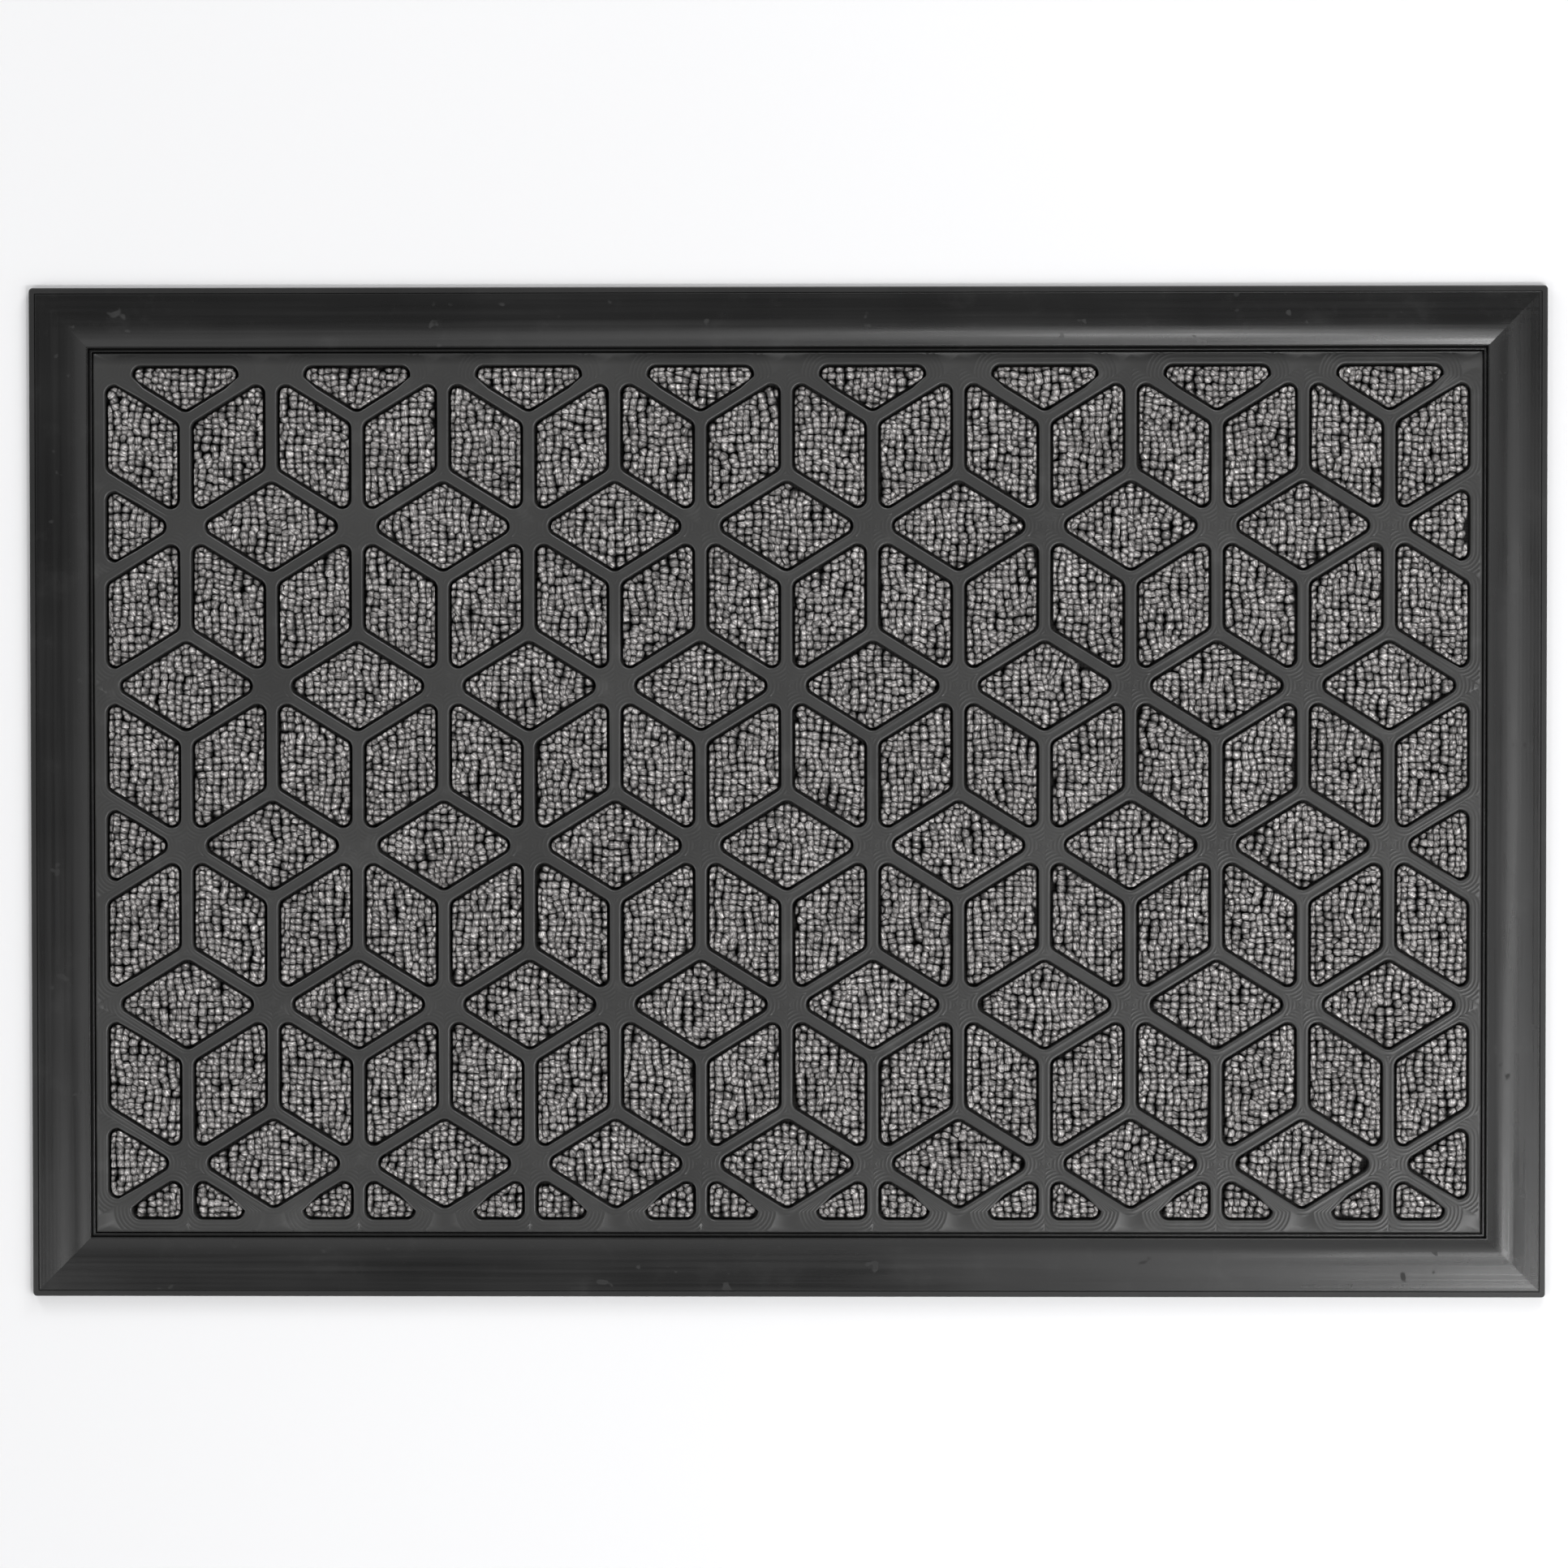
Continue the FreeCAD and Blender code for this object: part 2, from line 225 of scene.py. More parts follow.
def depth_inside(outline, inset, radius, points):
    """Distance of points inside a rounded outline, negative outside it, and the way inwards."""
    core = inset_corners(outline, inset + radius)
    nearest, inside = nearest_on_outline(core, points)
    step = points - nearest
    gap = np.linalg.norm(step, axis=1)
    inward = step / np.maximum(gap, 1e-9)[:, None] * np.where(inside, 1.0, -1.0)[:, None]
    return radius + np.where(inside, gap, -gap), inward


# ---- Mesh helpers ---------------------------------------------------------------------------------
def mesh_object(name, vertices, faces, smooth=True):
    """New object from an array of vertices and a list or array of faces."""
    mesh = bpy.data.meshes.new(name)
    if isinstance(faces, np.ndarray):
        count, size = faces.shape
        mesh.vertices.add(len(vertices))
        mesh.vertices.foreach_set("co", np.asarray(vertices, np.float32).ravel())
        mesh.loops.add(count * size)
        mesh.loops.foreach_set("vertex_index", faces.astype(np.int32).ravel())
        mesh.polygons.add(count)
        mesh.polygons.foreach_set("loop_start", np.arange(0, count * size, size, dtype=np.int32))
        mesh.update(calc_edges=True)
    else:
        mesh.from_pydata([tuple(v) for v in vertices], [], faces)
    mesh.polygons.foreach_set("use_smooth", np.full(len(mesh.polygons), smooth))
    obj = bpy.data.objects.new(name, mesh)
    bpy.context.scene.collection.objects.link(obj)
    return obj


def point_attribute(obj, name, values):
    """Store one number per vertex for the materials to read."""
    attribute = obj.data.attributes.new(name, "FLOAT", "POINT")
    attribute.data.foreach_set("value", np.asarray(values, np.float32).ravel())


def weld(obj, distance=1e-6):
    """Merge vertices that coincide and drop the faces that vanish with them."""
    work = bmesh.new()
    work.from_mesh(obj.data)
    bmesh.ops.remove_doubles(work, verts=work.verts, dist=distance)
    bmesh.ops.dissolve_degenerate(work, edges=work.edges, dist=distance)
    bmesh.ops.recalc_face_normals(work, faces=work.faces)
    work.to_mesh(obj.data)
    work.free()


# ---- Camera and light -----------------------------------------------------------------------------
CAMERA_EYE = Vector((29.6, 55.7, 1999.8)) * MM
CAMERA_TARGET = Vector((-1.2, 3.5, 0.0)) * MM
CAMERA_ROLL = math.radians(-0.05)
CAMERA_LENS = 115.9        # millimetres
SENSOR_WIDTH = 36.0        # millimetres
CLIP_START = 0.01


def make_camera():
    """Camera almost straight above the mat, a little towards its top edge."""
    camera_data = bpy.data.cameras.new("camera")
    camera_data.lens = CAMERA_LENS
    camera_data.sensor_width = SENSOR_WIDTH
    camera_data.clip_start = CLIP_START
    camera = bpy.data.objects.new("camera", camera_data)
    back = (CAMERA_EYE - CAMERA_TARGET).normalized()
    right = Vector((0, 1, 0)).cross(back).normalized()
    up = back.cross(right)
    turn = Matrix((right, up, back)).transposed().to_4x4()
    camera.matrix_world = Matrix.Translation(CAMERA_EYE) @ turn @ Matrix.Rotation(CAMERA_ROLL, 4, "Z")
    bpy.context.scene.collection.objects.link(camera)
    bpy.context.scene.camera = camera


LIGHT_DISTANCE = 1.7       # from the mat's middle
SOFT_BOX = 0.36            # side of each square light
SOFT_BOXES = [             # degrees from straight up, degrees round from the X axis, watts
    (72, 67, 9.7),
    (72, 130, 6.6),
    (72, 202, 2.7),
    (72, 327, 2.7),
    (54, 80, 3.3),
    (48, 337, 6.2),
    (48, 292, 3.0),
    (42, 213, 4.4),
    (36, 0, 2.0),
    (34, 310, 4.3),
    (30, 318, 3.1),
]


def soft_box(number, from_vertical, around, watts):
    """Square light on a dome over the mat, aimed at the mat's middle."""
    light_data = bpy.data.lights.new(f"soft_box_{number}", "AREA")
    light_data.shape = "SQUARE"
    light_data.size = SOFT_BOX
    light_data.energy = watts
    light = bpy.data.objects.new(light_data.name, light_data)
    tilt = math.radians(from_vertical)
    turn = math.radians(around)
    outwards = Vector((math.sin(tilt) * math.cos(turn), math.sin(tilt) * math.sin(turn), math.cos(tilt)))
    light.location = outwards * LIGHT_DISTANCE
    light.rotation_euler = outwards.to_track_quat("Z", "Y").to_euler()
    light.visible_camera = False
    bpy.context.scene.collection.objects.link(light)


def make_lights():
    """A low ring of soft boxes, and higher ones that stand mostly towards the mat's near right corner."""
    for number, box in enumerate(SOFT_BOXES):
        soft_box(number, *box)


HORIZON_STRENGTH = 0.70
PALE_UP_TO = 0.45          # height in the sky, 0 at the horizon and 1 overhead
DARK_FROM = 0.85


def make_world():
    """Pale surroundings at the horizon, dark overhead."""
    world = bpy.data.worlds.new("studio")
    world.use_nodes = True
    nodes = world.node_tree.nodes
    nodes["Background"].inputs["Color"].default_value = (1.0, 1.0, 1.0, 1.0)
    links = world.node_tree.links
    coordinates = nodes.new("ShaderNodeTexCoord")
    parts = nodes.new("ShaderNodeSeparateXYZ")
    links.new(coordinates.outputs["Generated"], parts.inputs["Vector"])
    fade = nodes.new("ShaderNodeMapRange")
    fade.inputs["From Min"].default_value = PALE_UP_TO
    fade.inputs["From Max"].default_value = DARK_FROM
    fade.inputs["To Min"].default_value = HORIZON_STRENGTH
    fade.inputs["To Max"].default_value = 0.0
    links.new(parts.outputs["Z"], fade.inputs["Value"])
    links.new(fade.outputs["Result"], nodes["Background"].inputs["Strength"])
    bpy.context.scene.world = world
    bpy.context.scene.view_settings.view_transform = "Standard"


# ---- Materials ------------------------------------------------------------------------------------
PAINTED_SHADE_START = 169 * MM # Y from which painted shade darkens the lattice towards the mat's top edge
PAINTED_SHADE_FADE = 4 * MM
PAINTED_SHADE_FACTOR = 0.35
DUST_SHARE = 0.35           # of the dust's colour in the dustiest places
GRAIN_HEIGHT = 0.02 * MM
YARN_FUZZ = 0.7 * MM        # height of the yarn's fibres and tufts in its bump
WEAVE_HEIGHT = 0.2 * MM
WHITE = (1, 1, 1)
BLACK = (0, 0, 0)


class Shader:
    """A material's node tree with short names for adding and linking nodes."""

    def __init__(self, name):
        self.material = bpy.data.materials.new(name)
        self.material.use_nodes = True
        self.nodes = self.material.node_tree.nodes
        self.links = self.material.node_tree.links
        self.surface = self.nodes["Principled BSDF"]
        coordinates = self.nodes.new("ShaderNodeTexCoord")
        self.place = coordinates.outputs["Object"]

    def link(self, source, target):
        self.links.new(source, target)

    def scaled(self, scale, vector=None):
        """Coordinates, the object's own unless others are given, times a factor along each axis."""
        mapping = self.nodes.new("ShaderNodeMapping")
        mapping.inputs["Scale"].default_value = scale
        self.link(vector or self.place, mapping.inputs["Vector"])
        return mapping.outputs["Vector"]

    def noise(self, scale, detail=3.0, vector=None, roughness=0.5):
        """Noise value at a scale in features per metre."""
        node = self.nodes.new("ShaderNodeTexNoise")
        node.inputs["Scale"].default_value = scale
        node.inputs["Detail"].default_value = detail
        node.inputs["Roughness"].default_value = roughness
        self.link(vector or self.place, node.inputs["Vector"])
        return node.outputs["Fac"]

    def attribute(self, name):
        """A number stored on the mesh."""
        node = self.nodes.new("ShaderNodeAttribute")
        node.attribute_name = name
        return node.outputs["Fac"]

    def vector(self, name):
        """A place or direction stored on the mesh."""
        node = self.nodes.new("ShaderNodeAttribute")
        node.attribute_name = name
        return node.outputs["Vector"]

    def math(self, operation, first, second):
        """Arithmetic on two values, each a socket or a number."""
        node = self.nodes.new("ShaderNodeMath")
        node.operation = operation
        for socket, value in zip(node.inputs, (first, second)):
            if isinstance(value, (int, float)):
                socket.default_value = value
            else:
                self.link(value, socket)
        return node.outputs["Value"]

    def ramp(self, value, stops):
        """Colour ramp with (position, colour) stops."""
        node = self.nodes.new("ShaderNodeValToRGB")
        elements = node.color_ramp.elements
        while len(elements) < len(stops):
            elements.new(0.5)
        for element, (position, colour) in zip(elements, stops):
            element.position = position
            element.color = (*colour, 1.0)
        self.link(value, node.inputs["Fac"])
        return node.outputs["Color"]

    def span(self, value, low, high, from_low=0.0, from_high=1.0):
        """Map a value's range to low..high."""
        node = self.nodes.new("ShaderNodeMapRange")
        node.inputs["From Min"].default_value = from_low
        node.inputs["From Max"].default_value = from_high
        node.inputs["To Min"].default_value = low
        node.inputs["To Max"].default_value = high
        self.link(value, node.inputs["Value"])
        return node.outputs["Result"]

    def mix(self, share, first, second, blend="MIX"):
        """Mix two colours."""
        node = self.nodes.new("ShaderNodeMix")
        node.data_type = "RGBA"
        node.blend_type = blend
        colour_a, colour_b = [s for s in node.inputs if s.type == "RGBA"]
        factor = node.inputs[0]
        for socket, value in ((factor, share), (colour_a, first), (colour_b, second)):
            if isinstance(value, (int, float)):
                socket.default_value = value
            elif isinstance(value, tuple):
                socket.default_value = (*value, 1.0)
            else:
                self.link(value, socket)
        return [s for s in node.outputs if s.type == "RGBA"][0]

    def bump(self, height, distance, strength=1.0):
        """Fine relief from a height value."""
        node = self.nodes.new("ShaderNodeBump")
        node.inputs["Strength"].default_value = strength
        node.inputs["Distance"].default_value = distance
        self.link(height, node.inputs["Height"])
        self.link(node.outputs["Normal"], self.surface.inputs["Normal"])


def painted_top_edge_shade(shader, colour):
    """The colour, darkened on the land along the mat's top edge: painted shade."""
    parts = shader.nodes.new("ShaderNodeSeparateXYZ")
    shader.link(shader.place, parts.inputs["Vector"])
    edge = PAINTED_SHADE_START + PAINTED_SHADE_FADE
    shade = shader.span(parts.outputs["Y"], 1.0, PAINTED_SHADE_FACTOR, from_low=PAINTED_SHADE_START, from_high=edge)
    return shader.mix(1.0, colour, shade, "MULTIPLY")


def streaked(shader, rough):
    """The roughness with streaks along the border's sides and a few dull spots."""
    long_x = shader.noise(1.0, detail=3, vector=shader.scaled((6, 420, 420)))
    long_y = shader.noise(1.0, detail=3, vector=shader.scaled((420, 6, 420)))
    streak = shader.mix(shader.attribute("along_y"), long_x, long_y)
    rough = shader.math("ADD", rough, shader.span(streak, -0.05, 0.05, from_low=0.35, from_high=0.65))
    speckle = shader.noise(120, detail=2, roughness=0.7)
    spots = shader.span(speckle, 0.0, 0.35, from_low=0.69, from_high=0.75)
    return shader.math("ADD", rough, spots)


def rubber_material(name, dark, light, roughness, streaks=False, painted_edge_shade=False):
    """Moulded black rubber: cloudy colour, faint dust and fine grain; optionally painted shade along the
    mat's top edge.
    """
    shader = Shader(name)
    clouds = shader.noise(14, detail=4)
    grain = shader.noise(1600, detail=2)
    dust = shader.ramp(shader.noise(55, detail=5, roughness=0.7), [(0.56, BLACK), (0.8, WHITE)])
    base = shader.mix(clouds, dark, light)
    dusty = tuple(channel * 2.2 + 0.01 for channel in light)
    coloured = shader.mix(shader.math("MULTIPLY", dust, DUST_SHARE), base, dusty)
    # painted shade: the land darkens towards the mat's top edge
    if painted_edge_shade:
        coloured = painted_top_edge_shade(shader, coloured)
    shader.link(coloured, shader.surface.inputs["Base Color"])
    rough = shader.span(clouds, roughness - 0.05, roughness + 0.06, from_low=0.3, from_high=0.7)
    if streaks:
        rough = streaked(shader, rough)
    shader.link(rough, shader.surface.inputs["Roughness"])
    shader.bump(grain, GRAIN_HEIGHT, strength=0.6)
    return shader.material


def yarn_material():
    """Grey bulked yarn: a tone for each loop, fibres along the yarn, painted shade deepening towards the
    roots, a painted highlight on the tips and a soft sheen.
    """
    shader = Shader("grey_yarn")
    tint = shader.ramp(shader.attribute("shade"), [
        (0.0, (0.16, 0.151, 0.148)),
        (0.5, (0.25, 0.239, 0.235)),
        (1.0, (0.37, 0.356, 0.350)),
    ])
    fibres = shader.noise(1.0, detail=3, vector=shader.scaled((700, 2600, 2600), shader.vector("fibre")))
    tufts = shader.noise(1.0, detail=2, vector=shader.scaled((1100, 1100, 1100), shader.vector("fibre")))
    # the streaks and patches are partly the yarn's mélange of light and dark fibres and partly painted
    # glints and painted self-shadow
    streaks = shader.ramp(fibres, [(0.32, (0.55, 0.55, 0.55)), (0.5, WHITE), (0.68, (1.7, 1.7, 1.7))])
    patches = shader.ramp(tufts, [(0.32, (0.45, 0.45, 0.45)), (0.68, (1.65, 1.65, 1.65))])
    spun = shader.mix(1.0, shader.mix(1.0, tint, streaks, "MULTIPLY"), patches, "MULTIPLY")
    # painted highlight and painted shade: the yarn is brightened at its tip and darkened with depth below
    # it, standing in for the shade between the loops
    depth = shader.ramp(shader.attribute("sunk"), [
        (0.0, (1.95, 1.95, 1.95)),
        (0.10, (1.02, 1.02, 1.02)),
        (0.28, (0.38, 0.38, 0.38)),
        (0.6, (0.05, 0.05, 0.05)),
    ])
    shader.link(shader.mix(1.0, spun, depth, "MULTIPLY"), shader.surface.inputs["Base Color"])
    shader.surface.inputs["Roughness"].default_value = 0.8
    shader.surface.inputs["Sheen Weight"].default_value = 0.08
    shader.surface.inputs["Specular IOR Level"].default_value = 0.3
    shader.bump(shader.math("ADD", fibres, tufts), YARN_FUZZ)
    return shader.material


def cloth_material():
    """Dark woven cloth under the pile: two crossed sets of threads."""
    shader = Shader("dark_cloth")
    threads = []
    for direction in ("X", "Y"):
        wave = shader.nodes.new("ShaderNodeTexWave")
        wave.bands_direction = direction
        wave.inputs["Scale"].default_value = 260
        wave.inputs["Distortion"].default_value = 0.6
        shader.link(shader.place, wave.inputs["Vector"])
        threads.append(wave.outputs["Fac"])
    weave = shader.math("MAXIMUM", threads[0], threads[1])
    coloured = shader.ramp(weave, [(0.1, (0.006, 0.006, 0.006)), (1.0, (0.03, 0.028, 0.027))])
    shader.link(coloured, shader.surface.inputs["Base Color"])
    shader.surface.inputs["Roughness"].default_value = 0.95
    shader.bump(weave, WEAVE_HEIGHT, strength=0.8)
    return shader.material


def floor_material():
    """Plain white studio floor."""
    shader = Shader("studio_floor")
    faint = shader.noise(2, detail=2)
    shade = shader.ramp(faint, [(0.0, (0.80, 0.80, 0.81)), (1.0, (0.84, 0.84, 0.85))])
    shader.link(shade, shader.surface.inputs["Base Color"])
    shader.surface.inputs["Roughness"].default_value = 0.7
    return shader.material


def wear(obj, material):
    """Give a new piece its material, and let it ride on the mat's only body."""
    obj.data.materials.clear()
    obj.data.materials.append(material)
    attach(obj, "root")


# ---- Rubber border --------------------------------------------------------------------------------
CREST_INSET = 23.7 * MM
OUTER_SLOPE = 0.055        # the bevel starts at this slope, and steepens towards the crest
SLOPE_POWER = 3.4
BEVEL_FOOT_RISE = 0.6 * MM
FOOT_ROUNDING = 0.25 * MM
FOOT_POINTS = 5
BEVEL_POINTS = 60
TOOL_STEP = 1.5 * MM       # distance between the fine lines left by the milled mould
TOOL_RIPPLE = 0.006 * MM   # height of those lines on the bevel
BEVEL_END = (-0.35 * MM, 0.12 * MM)
CREST_AND_BEAD = [         # distance inwards from the crest's line, and drop below the crest's top
    (-0.20 * MM, 0.03 * MM),
    (-0.05 * MM, 0.0),
    (0.10 * MM, 0.03 * MM),
    (0.22 * MM, 0.15 * MM),
    (0.30 * MM, 0.45 * MM),
    (0.42 * MM, 1.6 * MM),
    (0.55 * MM, 1.85 * MM),
    (0.70 * MM, 1.6 * MM),
    (0.95 * MM, 1.25 * MM),
    (1.15 * MM, 1.15 * MM),
    (1.55 * MM, 1.15 * MM),
    (1.75 * MM, 1.25 * MM),
    (1.87 * MM, 1.60 * MM),
]
SEAM_START = 1.95 * MM     # outer wall of the narrow seam between the border's bead and the land
SEAM_FLOOR = 4.6 * MM
BORDER_SEGMENT = 10 * MM


def border_section():
    """The border's section as (inset from the mat's edge, height), from outside to inside."""
    foot = BASE_TOP + BEVEL_FOOT_RISE
    section = [(BEVEL_INSET, BASE_TOP), (BEVEL_INSET, foot - FOOT_ROUNDING)]
    for angle in np.linspace(0, math.pi / 2, FOOT_POINTS)[1:]:
        section.append((
            BEVEL_INSET + FOOT_ROUNDING * (1 - math.cos(angle)),
            foot - FOOT_ROUNDING + FOOT_ROUNDING * math.sin(angle),
        ))
    start = section[-1][0]
    end_distance, end_drop = BEVEL_END
    run = CREST_INSET + end_distance - start
    rise = CREST_TOP - end_drop - foot - OUTER_SLOPE * run
    for share in np.linspace(0, 1, BEVEL_POINTS)[1:]:
        along = share * run
        ripple = TOOL_RIPPLE * math.sin(2 * math.pi * along / TOOL_STEP) * (1 - share)
        height = foot + OUTER_SLOPE * along + rise * share ** SLOPE_POWER + ripple
        section.append((start + along, height))
    section += [(CREST_INSET + distance, CREST_TOP - drop) for distance, drop in CREST_AND_BEAD]
    section += [
        (CREST_INSET + SEAM_START, SEAM_FLOOR),
        (BORDER_WIDTH, SEAM_FLOOR),
        (BORDER_WIDTH, BASE_TOP),
    ]
    return section


def make_border():
    """Bevelled ring swept round the mat with mitred corners."""
    section = border_section()
    corners = [(-1, -1), (1, -1), (1, 1), (-1, 1)]
    path = []
    for index, (sx, sy) in enumerate(corners):
        next_sx, next_sy = corners[(index + 1) % 4]
        side_length = 2 * (HALF_LENGTH if sx != next_sx else HALF_WIDTH)
        steps = int(side_length / BORDER_SEGMENT)
        for step in range(steps):
            share = step / steps
            path.append((sx + (next_sx - sx) * share, sy + (next_sy - sy) * share, step == 0))
    vertices = []
    for px, py, _ in path:
        for inset, z in section:
            vertices.append((px * (HALF_LENGTH - inset), py * (HALF_WIDTH - inset), z))
    rows, points = len(path), len(section)
    faces = []
    for row in range(rows):
        here, ahead = row * points, (row + 1) % rows * points
        for point in range(points):
            beyond = (point + 1) % points
            faces.append((here + point, ahead + point, ahead + beyond, here + beyond))
    obj = mesh_object("border_moulding", vertices, faces)
    outwards = np.abs(np.array(vertices)[:, :2]) - (HALF_LENGTH, HALF_WIDTH)
    point_attribute(obj, "along_y", outwards[:, 0] > outwards[:, 1])
    obj.data.set_sharp_from_angle(angle=math.radians(50))
    mitres = set()
    for row, (_, _, at_corner) in enumerate(path):
        if at_corner:
            mitres.update(range(row * points, (row + 1) * points))
    sharp = obj.data.attributes.get("sharp_edge") or obj.data.attributes.new("sharp_edge", "BOOLEAN", "EDGE")
    for edge in obj.data.edges:
        if edge.vertices[0] in mitres and edge.vertices[1] in mitres:
            sharp.data[edge.index].value = True
    return obj


# ---- Rubber lattice -------------------------------------------------------------------------------
RIB_HEIGHTS = [            # distance outwards from the pocket's edge, and drop below the lattice's top
    (-0.45 * MM, GRID_TOP - CLOTH_TOP),
    (-0.15 * MM, 0.60 * MM),
    (-0.05 * MM, 0.30 * MM),
    (0.12 * MM, 0.10 * MM),
    (0.40 * MM, 0.0),
]
RIDGE_START = 0.80 * MM
RIDGE_HALF_WIDTH = 0.30 * MM
RIDGE_HEIGHT = 0.09 * MM
RIDGE_COUNT = 5
LAND_EDGE_DROP = 0.6 * MM
LAND_STEP = 1.3 * MM       # between the points along the land's edge
BEND = POCKET_INSET + POCKET_CORNER_RADIUS
LONG_BEND = (9.7 * MM, 7)  # reach from a lattice corner, and points, where the pockets end in a sharp angle
SHORT_BEND = (3.7 * MM, 5)
LEAST_STRAIGHT = 4 * MM    # an edge with less than this between its two bends is divided evenly
EVEN_STEP = 1.6 * MM
CORNER_TOLERANCE = 0.1 * MM
EDGE_TOLERANCE = 0.01 * MM


def end_steps(reach, count):
    """Distances from a lattice corner at which a rib is divided, closer together round the bend."""
    angles = np.linspace(math.atan(reach / BEND), 0, count)
    return reach - BEND * np.tan(angles)


def corner_steps(point):
    """Distances from one lattice corner: longer at the corners where six pockets meet and on the land."""
    six_way = any(abs(point[1] - row_height(row)) < MM for row in (*ROWS, ROWS[0] + 1))
    long_bend = six_way or any(on_land_edge(point))
    return end_steps(*(LONG_BEND if long_bend else SHORT_BEND))


def divided_edge(start, end):
    """Points along one lattice edge, the same for the cells on both of its sides."""
    start, end = np.array(start), np.array(end)
    length = np.linalg.norm(end - start)
    both_on_edge = (np.abs(on_land_edge(start)) * np.abs(on_land_edge(end))).any()
    if both_on_edge:
        return start + (end - start) * np.linspace(0, 1, max(2, round(length / LAND_STEP)))[:, None]
    from_start, from_end = corner_steps(start), corner_steps(end)
    if length > from_start[-1] + from_end[-1] + LEAST_STRAIGHT:
        distances = np.concatenate([from_start, [length / 2], length - from_end[::-1]])
    else:
        distances = np.linspace(0, length, max(3, round(length / EVEN_STEP)))
    return start + (end - start) * (distances / length)[:, None]


def to_land_edge(point):
    """Move a lattice corner on the field's edge out to the edge of the flat land."""
    x, y = point
    if abs(abs(x) - PATTERN_HALF_LENGTH) < CORNER_TOLERANCE:
        x = math.copysign(LAND_HALF_LENGTH - LAND_EDGE_DROP, x)
    if abs(abs(y) - PATTERN_HALF_WIDTH) < CORNER_TOLERANCE:
        y = math.copysign(LAND_HALF_WIDTH - LAND_EDGE_DROP, y)
    return x, y


def on_land_edge(point):
    """Which way a point on the land's edge faces, as signs along X and Y; 0 if it isn't there."""
    far_x = abs(abs(point[0]) - (LAND_HALF_LENGTH - LAND_EDGE_DROP)) < EDGE_TOLERANCE
    far_y = abs(abs(point[1]) - (LAND_HALF_WIDTH - LAND_EDGE_DROP)) < EDGE_TOLERANCE
    return math.copysign(1, point[0]) if far_x else 0, math.copysign(1, point[1]) if far_y else 0


def rib_rings():
    """Rings round a pocket as (distance outwards, height), from its foot to the last tool ridge."""
    rings = [(distance, GRID_TOP - drop) for distance, drop in RIB_HEIGHTS]
    for number in range(RIDGE_COUNT):
        centre = RIDGE_START + number * TOOL_STEP
        rings.append((centre - RIDGE_HALF_WIDTH, GRID_TOP))
        rings.append((centre, GRID_TOP + RIDGE_HEIGHT))
        rings.append((centre + RIDGE_HALF_WIDTH, GRID_TOP))
    return rings


def lattice_cell(pocket, plot):
    """Vertices and faces of the rubber round one pocket, out to the middle of the ribs."""
    plot = [to_land_edge(point) for point in plot]
    edges = [divided_edge(plot[i], plot[(i + 1) % len(plot)])[:-1] for i in range(len(plot))]
    outer = np.concatenate(edges)
    core = inset_corners(pocket, BEND)
    nearest, _ = nearest_on_outline(core, outer)
    step = outer - nearest
    gap = np.linalg.norm(step, axis=1)
    outward = step / gap[:, None]
    reach = gap - POCKET_CORNER_RADIUS
    rings = []
    for distance, height in rib_rings():
        clipped = np.minimum(distance, reach)
        flat = nearest + outward * (POCKET_CORNER_RADIUS + clipped)[:, None]
        z = np.where(distance < reach, height, GRID_TOP)
        rings.append(np.column_stack([flat, z]))
    rings.append(np.column_stack([outer, np.full(len(outer), GRID_TOP)]))
    skirt = np.array([on_land_edge(point) for point in outer])
    brim = outer + skirt * LAND_EDGE_DROP
    rings.append(np.column_stack([brim, np.where(skirt.any(axis=1), GRID_TOP - LAND_EDGE_DROP, GRID_TOP)]))
    ring_count = len(rings)
    low = np.column_stack([brim, np.full(len(outer), CLOTH_TOP)])
    columns = len(outer)
    vertices = np.concatenate([*rings, low])
    faces = []
    for column in range(columns):
        ahead = (column + 1) % columns
        for ring in range(ring_count - 1):
            here, above = ring * columns, (ring + 1) * columns
            faces.append((here + column, here + ahead, above + ahead, above + column))
        brim_ring, low_ring = (ring_count - 1) * columns, ring_count * columns
        if skirt[column].any() and skirt[ahead].any() and (skirt[column] * skirt[ahead]).any():
            faces.append((brim_ring + column, brim_ring + ahead, low_ring + ahead, low_ring + column))
        faces.append((low_ring + column, low_ring + ahead, ahead, column))
    return vertices, faces


def make_lattice(groups):
    """Land and ribs in one piece, with rounded edges and the fine ridges of the milled mould."""
    all_vertices = []
    all_faces = []
    total = 0
    for cells in groups.values():
        for pocket, plot in cells:
            vertices, faces = lattice_cell(pocket, plot)
            all_vertices.append(vertices)
            all_faces += [tuple(index + total for index in face) for face in faces]
            total += len(vertices)
    obj = mesh_object("moulded_lattice", np.concatenate(all_vertices), all_faces)
    weld(obj, 0.003 * MM)
    obj.data.set_sharp_from_angle(angle=math.radians(60))
    return obj


# ---- Backing cloth --------------------------------------------------------------------------------
CLOTH_CELL = 3 * MM
CLOTH_SAG = 0.04 * MM
SAG_ALONG = 2.1 * MM       # the waves are this long over 2 pi, along and across the mat
SAG_ACROSS = 1.7 * MM


